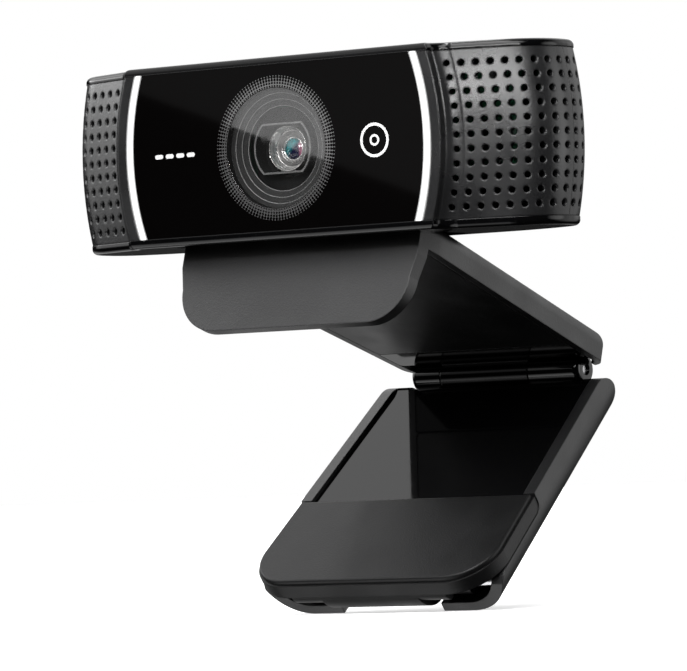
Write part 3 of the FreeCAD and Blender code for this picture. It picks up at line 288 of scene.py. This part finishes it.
WINDOW_BLACK = (0.0012, 0.0010, 0.0010)
WINDOW_ROUGH = 0.03
CLEAR_RADIUS = 9.56 * MM
DOT_PITCH = 0.47 * MM
DOTS_ROUND = 124
DOT_RINGS = 4
DOT_RADIUS = 0.17 * MM
DOT_GROWTH = 0.035 * MM
DOT_EDGE = 0.02 * MM
BETWEEN_DOTS = grey(0.32)
BETWEEN_METALLIC = 0.82
WALL_FROM = 0.05 * MM
WALL_TO = 0.1 * MM
WALL_ROUGH = 0.95


def front_plate():
    """Black gloss, with rings of black dots round the clear disc that grow outwards until they close up.

    The wall of the disc's hole is matt.
    """
    shade = glossy("window_black", WINDOW_BLACK, WINDOW_ROUGH, Specular_IOR_Level=0.14)
    right, above = shade.from_lens()
    radius = shade.length(right, above)
    rings = shade.math("DIVIDE", shade.math("SUBTRACT", radius, CLEAR_RADIUS), DOT_PITCH)
    ring = shade.math("FLOOR", rings)
    off_ring = shade.math("SUBTRACT", shade.math("SUBTRACT", rings, ring), 0.5)
    step = shade.times(shade.math("ARCTAN2", above, right), DOTS_ROUND / (2 * math.pi))
    off_step = shade.math("SUBTRACT", shade.math("SUBTRACT", step, shade.math("FLOOR", step)), 0.5)
    across = shade.times(off_ring, DOT_PITCH)
    along = shade.times(off_step, radius, 2 * math.pi / DOTS_ROUND)
    past_dot = shade.math(
        "SUBTRACT", shade.length(across, along), shade.math("MULTIPLY_ADD", ring, DOT_GROWTH, DOT_RADIUS)
    )
    open_between = shade.span(past_dot, -DOT_EDGE, DOT_EDGE, 0, 1)
    last_ring = CLEAR_RADIUS + DOT_RINGS * DOT_PITCH
    inside = shade.span(radius, last_ring, last_ring + DOT_EDGE, 1, 0)
    wall = shade.span(radius, CLEAR_RADIUS + WALL_TO, CLEAR_RADIUS + WALL_FROM, 0, 1)
    between = shade.times(open_between, inside, shade.math("SUBTRACT", 1.0, wall))
    shade.drive("Metallic", shade.times(between, BETWEEN_METALLIC))
    shade.drive("Base Color", shade.blend(between, WINDOW_BLACK, BETWEEN_DOTS))
    shade.drive("Roughness", shade.span(wall, 0, 1, WINDOW_ROUGH, WALL_ROUGH))
    return shade


WINDOW = front_plate()
CLEAR = Shade("clear_window", grey(0.9), 0.02, Metallic=1.0, Alpha=0.2)
CLEAR.polish(CLEAR.noise(500, 4), 0.02, 0.01)

# ---------------------------------------------------------------- inside the lens

DEEP_BLUE = (0.006, 0.008, 0.05)
TEAL = (0.03, 0.33, 0.36)
PINK = (0.42, 0.12, 0.22)
TEAL_FROM = -0.4 * MM
TEAL_TO = 1.1 * MM
PINK_FROM = 0.75 * MM
PINK_TO = 1.2 * MM
SWIRL = 0.6 * MM


def coating_reflections():
    """The front element, its coating's coloured reflections painted in: teal at one side, deep blue below,
    pink at the far edge.
    """
    shade = Shade("coated_glass", (0.01, 0.02, 0.05), 0.08, Coat_Weight=1.0, Coat_Roughness=0.02)
    right, above = shade.from_lens()
    swirl = shade.times(shade.math("SUBTRACT", shade.noise(900, 3), 0.5), SWIRL)
    sideways = shade.math("ADD", right, swirl)
    upwards = shade.math("ADD", above, swirl)
    teal = shade.span(shade.math("SUBTRACT", upwards, sideways), TEAL_FROM, TEAL_TO, 0, 1)
    pink = shade.span(sideways, PINK_FROM, PINK_TO, 0, 1)
    shade.drive("Base Color", shade.blend(pink, shade.blend(teal, DEEP_BLUE, TEAL), PINK))
    return shade


RIBS = 260
RIB_SHARE = 0.6
RIB_DEPTH = 0.02 * MM
RIB_SPREAD = 0.05


def ribbed(name, dark, light, rough):
    """Round the lens: fine radial ribs on a matt moulding."""
    shade = Shade(name, dark, rough)
    right, above = shade.from_lens()
    turn = shade.times(shade.math("ARCTAN2", above, right), RIBS)
    rib = shade.math("MULTIPLY_ADD", shade.math("SINE", turn), 0.5, 0.5)
    grain = shade.noise(4000)
    mixed = shade.math("MULTIPLY_ADD", rib, RIB_SHARE, shade.times(grain, 1 - RIB_SHARE))
    shade.drive("Base Color", shade.blend(mixed, dark, light))
    shade.polish(grain, rough, RIB_SPREAD)
    shade.bump(mixed, RIB_DEPTH)
    return shade


TOOL_DEPTH = 0.001 * MM
TOOL_SPREAD = 0.04


def turned_metal(name, dark, light, rough, pitch, metallic):
    """Round the lens: fine concentric tool marks on bright alloy."""
    shade = Shade(name, dark, rough, Metallic=metallic)
    wave = shade.math("SINE", shade.times(shade.length(*shade.from_lens()), 2 * math.pi / pitch))
    marks = shade.math("MULTIPLY_ADD", wave, 0.5, 0.5)
    shade.drive("Base Color", shade.blend(marks, dark, light))
    shade.polish(shade.noise(700), rough, TOOL_SPREAD)
    shade.bump(marks, TOOL_DEPTH)
    return shade


COATING_REFLECTIONS = coating_reflections()
BAFFLE = ribbed("baffle_moulding", grey(0.010), grey(0.035), 0.4)
# The step lips: the baffle's ribbed moulding in a far paler grey, a painted highlight along each edge.
EDGES = ribbed("baffle_edges_painted_highlight", grey(0.16), grey(0.42), 0.3)
METAL = turned_metal("barrel_alloy", (0.40, 0.395, 0.39), (0.55, 0.545, 0.54), 0.3, 0.3 * MM, 0.75)
# A paler copy of the barrel's alloy for the beads along its edges: painted highlights.
BARREL_HIGHLIGHT = turned_metal("barrel_rings_painted_highlight", (0.80, 0.79, 0.77), (0.95, 0.94, 0.92), 0.2, 0.2 * MM, 0.6)

# ---------------------------------------------------------------- a material for each sub-part

FINISH = {
    "front_window": WINDOW,
    "lens_window": CLEAR,
    "light_pipe_left": STRIP,
    "light_pipe_right": STRIP,
    "front_bezel": GRILLE,
    "grille_left": GRILLE,
    "grille_right": GRILLE,
    "top_cover": COVER,
    "bottom_cover": COVER,
    "rear_housing": GRILLE,
    "chassis": INNER,
    "tilt_block": INNER,
    "lens_baffle": INNER,
    "focus_housing": INNER,
    "image_sensor": INNER,
    "ir_filter": FILTER,
    "main_board": BOARD,
    "board_connector": WHITE,
    "status_leds": WHITE,
    "microphones": STEEL,
    "mic_boots": RUBBER,
    "board_screws": STEEL,
    "cable_grommet": RUBBER,
    "lens_barrel": METAL,
    "lens_glass": COATING_REFLECTIONS,
    "arm_shell": SATIN,
    "arm_panel": SATIN,
    "lip_pad": RUBBER,
    "hinge_cover": HINGE,
    "tilt_bracket": STEEL,
    "tilt_pin": STEEL,
    "tilt_washers": WHITE,
    "bracket_screws": STEEL,
    "leg_shell": SATIN,
    "leg_liner": GLOSS,
    "hinge_pin": STEEL,
    "hinge_washers": WHITE,
    "tripod_insert": BRASS,
    "liner_screws": STEEL,
    "foot_pin": STEEL,
    "foot_plate": FLAP,
    "foot_pad": FLAP,
    "foot_carrier": SATIN,
}
for name, shade in FINISH.items():
    mesh = NODES[name].data
    mesh.materials.clear()
    mesh.materials.append(shade.material)

# ---------------------------------------------------------------- tools for pieces
# Sizes of pieces are in millimetres. A depth counts backwards from the plate's face.

SHORTEST_EDGE = 1e-7
SAME_POINT = 1e-8
SHARP_FROM = math.radians(28)


def on_plate(x, depth, z):
    """The place in the frame of a point given in millimetres from the middle of the plate."""
    return PLATE + Vector((x, depth, z)) * MM


def shrunk(ring):
    """Whether a row's first two points fall together, as in a row that has shrunk to a point or a line."""
    return (ring[0].co - ring[1].co).length < SHORTEST_EDGE


def skinned(name, rows, shade, body, replaces=()):
    """A closed skin through closed rows of points, the last row joined to the first."""
    mesh = bpy.data.meshes.new(name)
    shape = bmesh.new()
    rings = [[shape.verts.new(point) for point in row] for row in rows]
    steps = len(rings[0])
    for ring, following in zip(rings, rings[1:] + rings[:1]):
        if shrunk(ring) and shrunk(following):
            continue
        for index in range(steps):
            after = (index + 1) % steps
            shape.faces.new((ring[index], ring[after], following[after], following[index]))
    bmesh.ops.remove_doubles(shape, verts=shape.verts, dist=SAME_POINT)
    loose = [edge for edge in shape.edges if not edge.link_faces]
    bmesh.ops.delete(shape, geom=loose, context="EDGES")
    bmesh.ops.recalc_face_normals(shape, faces=shape.faces)
    shape.to_mesh(mesh)
    shape.free()
    mesh.materials.append(shade.material)
    for face in mesh.polygons:
        face.use_smooth = True
    mesh.set_sharp_from_angle(angle=SHARP_FROM)
    piece = bpy.data.objects.new(name, mesh)
    bpy.context.scene.collection.objects.link(piece)
    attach(piece, body)
    if replaces:
        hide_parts(*replaces)


def lathe(name, profile, shade, body, steps=160, replaces=(), right=0.0):
    """Turn a profile of (radius, depth) about the lens axis, or about a line some way to the right of it."""
    rows = []
    for radius, depth in profile:
        angles = [2 * math.pi * index / steps for index in range(steps)]
        rows.append([on_plate(right + radius * math.cos(a), depth, radius * math.sin(a)) for a in angles])
    skinned(name, rows, shade, body, replaces)


# ---------------------------------------------------------------- clear disc

DISC_THICKNESS = 0.12
DISC_SUNK = 0.01
DISC_GAP = 0.04
disc_low, disc_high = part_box("lens_window")
disc_front = (disc_low.y - PLATE.y) / MM + DISC_SUNK
disc_back = disc_front + DISC_THICKNESS
disc_radius = (disc_high.x - disc_low.x) / 2 / MM - DISC_GAP
disc = [(0.0, disc_front), (disc_radius, disc_front), (disc_radius, disc_back), (0.0, disc_back)]
lathe("clear_disc", disc, CLEAR, "head", replaces=("lens_window",))

# ---------------------------------------------------------------- steps that lead in to the lens
# Each step is a ribbed, slightly conical face with a bevelled lip at its inner edge, pale as a painted
# highlight.

STEP_RADII = (9.5, 8.73, 7.75, 6.74)
STEP_FRONT = 1.25
STEP_FALL = 0.34
STEP_CONE = 0.12
LIP = 0.09
# The lip's outline, outwards and backwards from its step's edge.
LIP_SECTION = ((0.10, 0.005), (0.06, -0.02), (0.01, 0.02), (-0.01, 0.07), (0.03, 0.09))
BACK_OF_STEPS = 2.38

steps_profile = [(STEP_RADII[0], STEP_FRONT)]
lip_sections = []
for number, (outer, inner) in enumerate(zip(STEP_RADII, STEP_RADII[1:])):
    front = STEP_FRONT + STEP_FALL * number
    edge = front + STEP_CONE
    steps_profile += [(outer - LIP, front), (inner + LIP, edge), (inner, edge + LIP)]
    lip_sections.append([(inner + out, edge + back) for out, back in LIP_SECTION])
steps_profile += [(STEP_RADII[-1], BACK_OF_STEPS), (STEP_RADII[0], BACK_OF_STEPS)]
lathe("lead_in_steps", steps_profile, BAFFLE, "head", replaces=("lens_baffle",))
for number, section in enumerate(lip_sections, start=1):
    lathe(f"step_lip_{number}", section, EDGES, "head")

# ---------------------------------------------------------------- lens barrel
# From the glass outwards: a chamfered bore, a flat floor, a funnel, a rim, and the wider body behind them.

BORE_RADIUS = 1.76
RIM_RADIUS = 3.66
BODY_RADIUS = 4.28
BARREL_BACK = 9.9
barrel_profile = [
    (BORE_RADIUS, 5.0),
    (1.84, 4.86),
    (2.02, 4.62),
    (2.12, 4.56),
    (2.78, 4.54),
    (2.86, 4.56),
    (2.95, 4.50),
    (3.42, 3.42),
    (3.46, 3.30),
    (3.54, 3.22),
    (3.61, 3.22),
    (RIM_RADIUS, 3.30),
    (RIM_RADIUS, 4.60),
    (BODY_RADIUS, 5.50),
    (BODY_RADIUS, BARREL_BACK),
    (BORE_RADIUS, BARREL_BACK),
]
lathe("barrel_body", barrel_profile, METAL, "lens", replaces=("lens_barrel",))

# The beads lie along the barrel's edges and are much paler than its alloy, as painted highlights.
# Beads on the barrel: name, radius, depth and half width. The crown is in shares of the half width.
BEAD_SEAT = 0.05
BEAD_CROWN = ((-0.6, 0.5), (0.0, 0.75), (0.6, 0.5))
BARREL_BEADS = (
    ("ring_inner", 1.80, 4.88, 0.13),
    ("ring_outer", 2.93, 4.52, 0.07),
    ("rim", 3.56, 3.24, 0.06),
)
for name, radius, depth, half in BARREL_BEADS:
    crown = [(radius + half * out, depth - half * rise) for out, rise in BEAD_CROWN]
    section = [(radius - half, depth + BEAD_SEAT), *crown, (radius + half, depth + BEAD_SEAT)]
    lathe(f"barrel_{name}", section, BARREL_HIGHLIGHT, "lens")

# ---------------------------------------------------------------- rim of the hood, a pale ring as its painted highlight

HOOD_RADIUS = 5.2
HOOD_FLAT = 3.7
# The rim's outline: how far outside the hood's opening, and depth.
HOOD_SECTION = ((0.33, 1.95), (0.36, 1.84), (0.30, 1.75), (0.07, 1.75), (0.0, 1.82), (0.0, 1.95))
ARC_STEPS = 48
FLAT_STEPS = 12


def flattened(radius, flat, depth):
    """A circle cut flat above and below, as a row of points."""
    turn = math.asin(flat / radius)
    reach = radius * math.cos(turn)
    spots = []
    for side, sign in ((0.0, 1.0), (math.pi, -1.0)):
        for index in range(ARC_STEPS):
            angle = side - turn + 2 * turn * index / (ARC_STEPS - 1)
            spots.append((radius * math.cos(angle), radius * math.sin(angle)))
        for index in range(1, FLAT_STEPS):
            spots.append((sign * reach * (1 - 2 * index / FLAT_STEPS), sign * flat))
    return [on_plate(x, depth, z) for x, z in spots]


hood = [flattened(HOOD_RADIUS + out, HOOD_FLAT + out, depth) for out, depth in HOOD_SECTION]
skinned("hood_rim_painted_highlight", hood, HOOD_HIGHLIGHT, "head")

# ---------------------------------------------------------------- marks on the plate

MARK_RISE = 0.02
MARK_SUNK = 0.01
BARS = 4
BAR_LEFT = -23.8
BAR_STEP = 2.1
BAR_LENGTH = 1.6
BAR_HALF = 0.35
BAR_END_STEPS = 8
RING_RIGHT = 19.0


def pill(name, left):
    """A flat printed bar with round ends."""
    outline = []
    ridge = []
    for middle, start in ((left + BAR_LENGTH - BAR_HALF, -math.pi / 2), (left + BAR_HALF, math.pi / 2)):
        for index in range(BAR_END_STEPS + 1):
            angle = start + math.pi * index / BAR_END_STEPS
            outline.append((middle + BAR_HALF * math.cos(angle), BAR_HALF * math.sin(angle)))
            ridge.append((middle, 0.0))
    levels = ((outline, MARK_SUNK), (outline, -MARK_RISE), (ridge, -MARK_RISE), (ridge, MARK_SUNK))
    rows = [[on_plate(x, depth, z) for x, z in spots] for spots, depth in levels]
    skinned(name, rows, PRINT, "head")


for number in range(BARS):
    pill(f"mark_bar_{number + 1}", BAR_LEFT + BAR_STEP * number)
for name, inner, outer, steps in (("mark_ring", 2.25, 2.7, 96), ("mark_ring_core", 0.55, 0.9, 64)):
    section = [(inner, MARK_SUNK), (inner, -MARK_RISE), (outer, -MARK_RISE), (outer, MARK_SUNK)]
    lathe(name, section, PRINT, "head", steps, right=RING_RIGHT)

# ---------------------------------------------------------------- floor

FLOOR_HALF = 6.0
FLOOR_GLOW = 0.5
FLOOR = moulded(
    "studio_floor", grey(0.93), grey(0.95), 0.7, 60, 0.1 * MM,
    Emission_Color=WHITE_LIGHT, Emission_Strength=FLOOR_GLOW,
)
floor_corners = [
    (x, y, OBJECT_LOW)
    for x, y in (
        (-FLOOR_HALF, -FLOOR_HALF),
        (FLOOR_HALF, -FLOOR_HALF),
        (FLOOR_HALF, FLOOR_HALF),
        (-FLOOR_HALF, FLOOR_HALF),
    )
]
floor_mesh = bpy.data.meshes.new("floor")
floor_mesh.from_pydata(floor_corners, [], [(0, 1, 2, 3)])
floor_mesh.materials.append(FLOOR.material)
floor = bpy.data.objects.new("floor", floor_mesh)
bpy.context.scene.collection.objects.link(floor)
floor.visible_glossy = False
floor.visible_diffuse = False

# ---------------------------------------------------------------- camera

# The photo's view, fitted to the object: where the camera stands, its right and its line of sight.
VIEW_FROM = PLATE + Vector((0.5062, -0.7075, -0.0529))
VIEW_RIGHT = Vector((0.8185, 0.5733, -0.0379)).normalized()
VIEW_ALONG = Vector((-0.57268, 0.81936, 0.02627)).normalized()
VIEW_LENS = 288.9
VIEW_SENSOR = 36.0
VIEW_NEAREST = 0.05

camera = bpy.data.cameras.new("view")
camera.sensor_fit = "HORIZONTAL"
camera.sensor_width = VIEW_SENSOR
camera.lens = VIEW_LENS
camera.clip_start = VIEW_NEAREST
view = bpy.data.objects.new("view", camera)
bpy.context.scene.collection.objects.link(view)
view_up = VIEW_RIGHT.cross(VIEW_ALONG).normalized()
view_turn = Matrix((VIEW_RIGHT, view_up, -VIEW_ALONG)).transposed().to_4x4()
view.matrix_world = Matrix.Translation(VIEW_FROM) @ view_turn
bpy.context.scene.camera = view
bpy.context.scene.view_settings.view_transform = "Standard"

# ---------------------------------------------------------------- lights


def area_light(name, place, turn, width, height, power):
    """A rectangular light, out of the camera's sight, that shines along its own -Z."""
    light = bpy.data.lights.new(name, "AREA")
    light.shape = "RECTANGLE"
    light.size = width
    light.size_y = height
    light.energy = power
    thing = bpy.data.objects.new(name, light)
    bpy.context.scene.collection.objects.link(thing)
    thing.matrix_world = Matrix.Translation(place) @ turn
    thing.visible_camera = False


def softbox(name, place, target, width, height, power):
    """A light at one place that faces another, both counted from the middle of the plate."""
    place = PLATE + Vector(place)
    turn = (PLATE + Vector(target) - place).to_track_quat("-Z", "Y").to_matrix().to_4x4()
    area_light(name, place, turn, width, height, power)


CARD_LEFT = (-25.96, 10.3)
CARD_RIGHT = (26.54, -8.8)
CARD_AWAY = 0.7
CARD_HEIGHT = 0.3
CARD_STRETCH = 4
CARD_POWER = 0.13


def reflected_card():
    """A dim card whose straight lower edge shows in the plate as a line from one point to another."""
    ends = []
    for x, z in (CARD_LEFT, CARD_RIGHT):
        point = Vector((x, 0, z)) * MM
        ray = point - (VIEW_FROM - PLATE)
        ray.y = -ray.y
        ends.append(PLATE + point + ray.normalized() * CARD_AWAY)
    edge = ends[1] - ends[0]
    along = edge.normalized()
    middle = (ends[0] + ends[1]) / 2
    up = along.cross((PLATE - middle).normalized()).normalized()
    if up.z < 0:
        up = -up
    back = along.cross(up).normalized()
    if back.dot(PLATE - middle) > 0:
        back = -back
    turn = Matrix((up.cross(back).normalized(), up, back)).transposed().to_4x4()
    place = middle + up * CARD_HEIGHT / 2
    area_light("card", place, turn, CARD_STRETCH * edge.length, CARD_HEIGHT, CARD_POWER)


reflected_card()
softbox("strip", (-0.3, -0.05, 0.85), (0.0, 0.0, 0.0), 0.9, 0.12, 3.6)
# Narrow strips close to the grilles make each one fade from its upper to its lower edge.
softbox("near_right", (0.056, -0.085, 0.027), (0.038, 0.0, 0.012), 0.11, 0.010, 0.09)
softbox("near_left", (-0.160, -0.010, 0.042), (-0.040, 0.003, 0.012), 0.10, 0.014, 0.02)

# ---------------------------------------------------------------- surroundings

# Soft patches of light round the object: direction, the angles from it in degrees where the patch starts to
# fade and where it ends, and strength.
PATCHES = (
    ((0.25, -0.72, 0.64), 10, 31, 6.0),
    ((-0.93, -0.15, 0.40), 8, 30, 2.6),
    ((-0.60, -0.55, 0.62), 12, 28, 1.15),
    ((-0.12, -0.42, 0.90), 5, 15, 8.0),
    ((-0.58, -0.10, -0.80), 3, 12, 2.2),
    ((-0.50, 0.35, 0.80), 25, 45, 1.1),
    ((-0.62, 0.60, -0.50), 8, 30, 0.65),
    ((-0.38, -0.58, -0.72), 10, 32, 1.9),
    ((0.68, 0.72, 0.06), 15, 45, 1.0),
    ((0.95, 0.30, 0.10), 8, 24, 1.6),
    ((0.0, 0.85, 0.52), 12, 40, 0.6),
)
AMBIENT = 0.015

world = bpy.data.worlds.new("studio")
bpy.context.scene.world = world
world.use_nodes = True
sky = world.node_tree
sky.nodes.clear()
around = add_node(sky, "ShaderNodeTexCoord").outputs["Generated"]
glow = AMBIENT
for direction, inner, outer, strength in PATCHES:
    facing = add_node(
        sky,
        "ShaderNodeVectorMath",
        (0, around),
        (1, Vector(direction).normalized()),
        operation="DOT_PRODUCT",
    )
    patch = add_node(
        sky,
        "ShaderNodeMapRange",
        ("Value", facing.outputs["Value"]),
        ("From Min", math.cos(math.radians(outer))),
        ("From Max", math.cos(math.radians(inner))),
        ("To Min", 0.0),
        ("To Max", strength),
        interpolation_type="SMOOTHSTEP",
    )
    glow = add_node(sky, "ShaderNodeMath", (0, patch.outputs[0]), (1, glow), operation="ADD").outputs[0]
# The camera sees plain white instead of the patches.
lit = add_node(sky, "ShaderNodeBackground", (0, WHITE_LIGHT), (1, glow))
seen = add_node(sky, "ShaderNodeBackground", (0, WHITE_LIGHT))
from_camera = add_node(sky, "ShaderNodeLightPath").outputs["Is Camera Ray"]
mixed = add_node(sky, "ShaderNodeMixShader", (0, from_camera), (1, lit.outputs[0]), (2, seen.outputs[0]))
add_node(sky, "ShaderNodeOutputWorld", (0, mixed.outputs[0]))
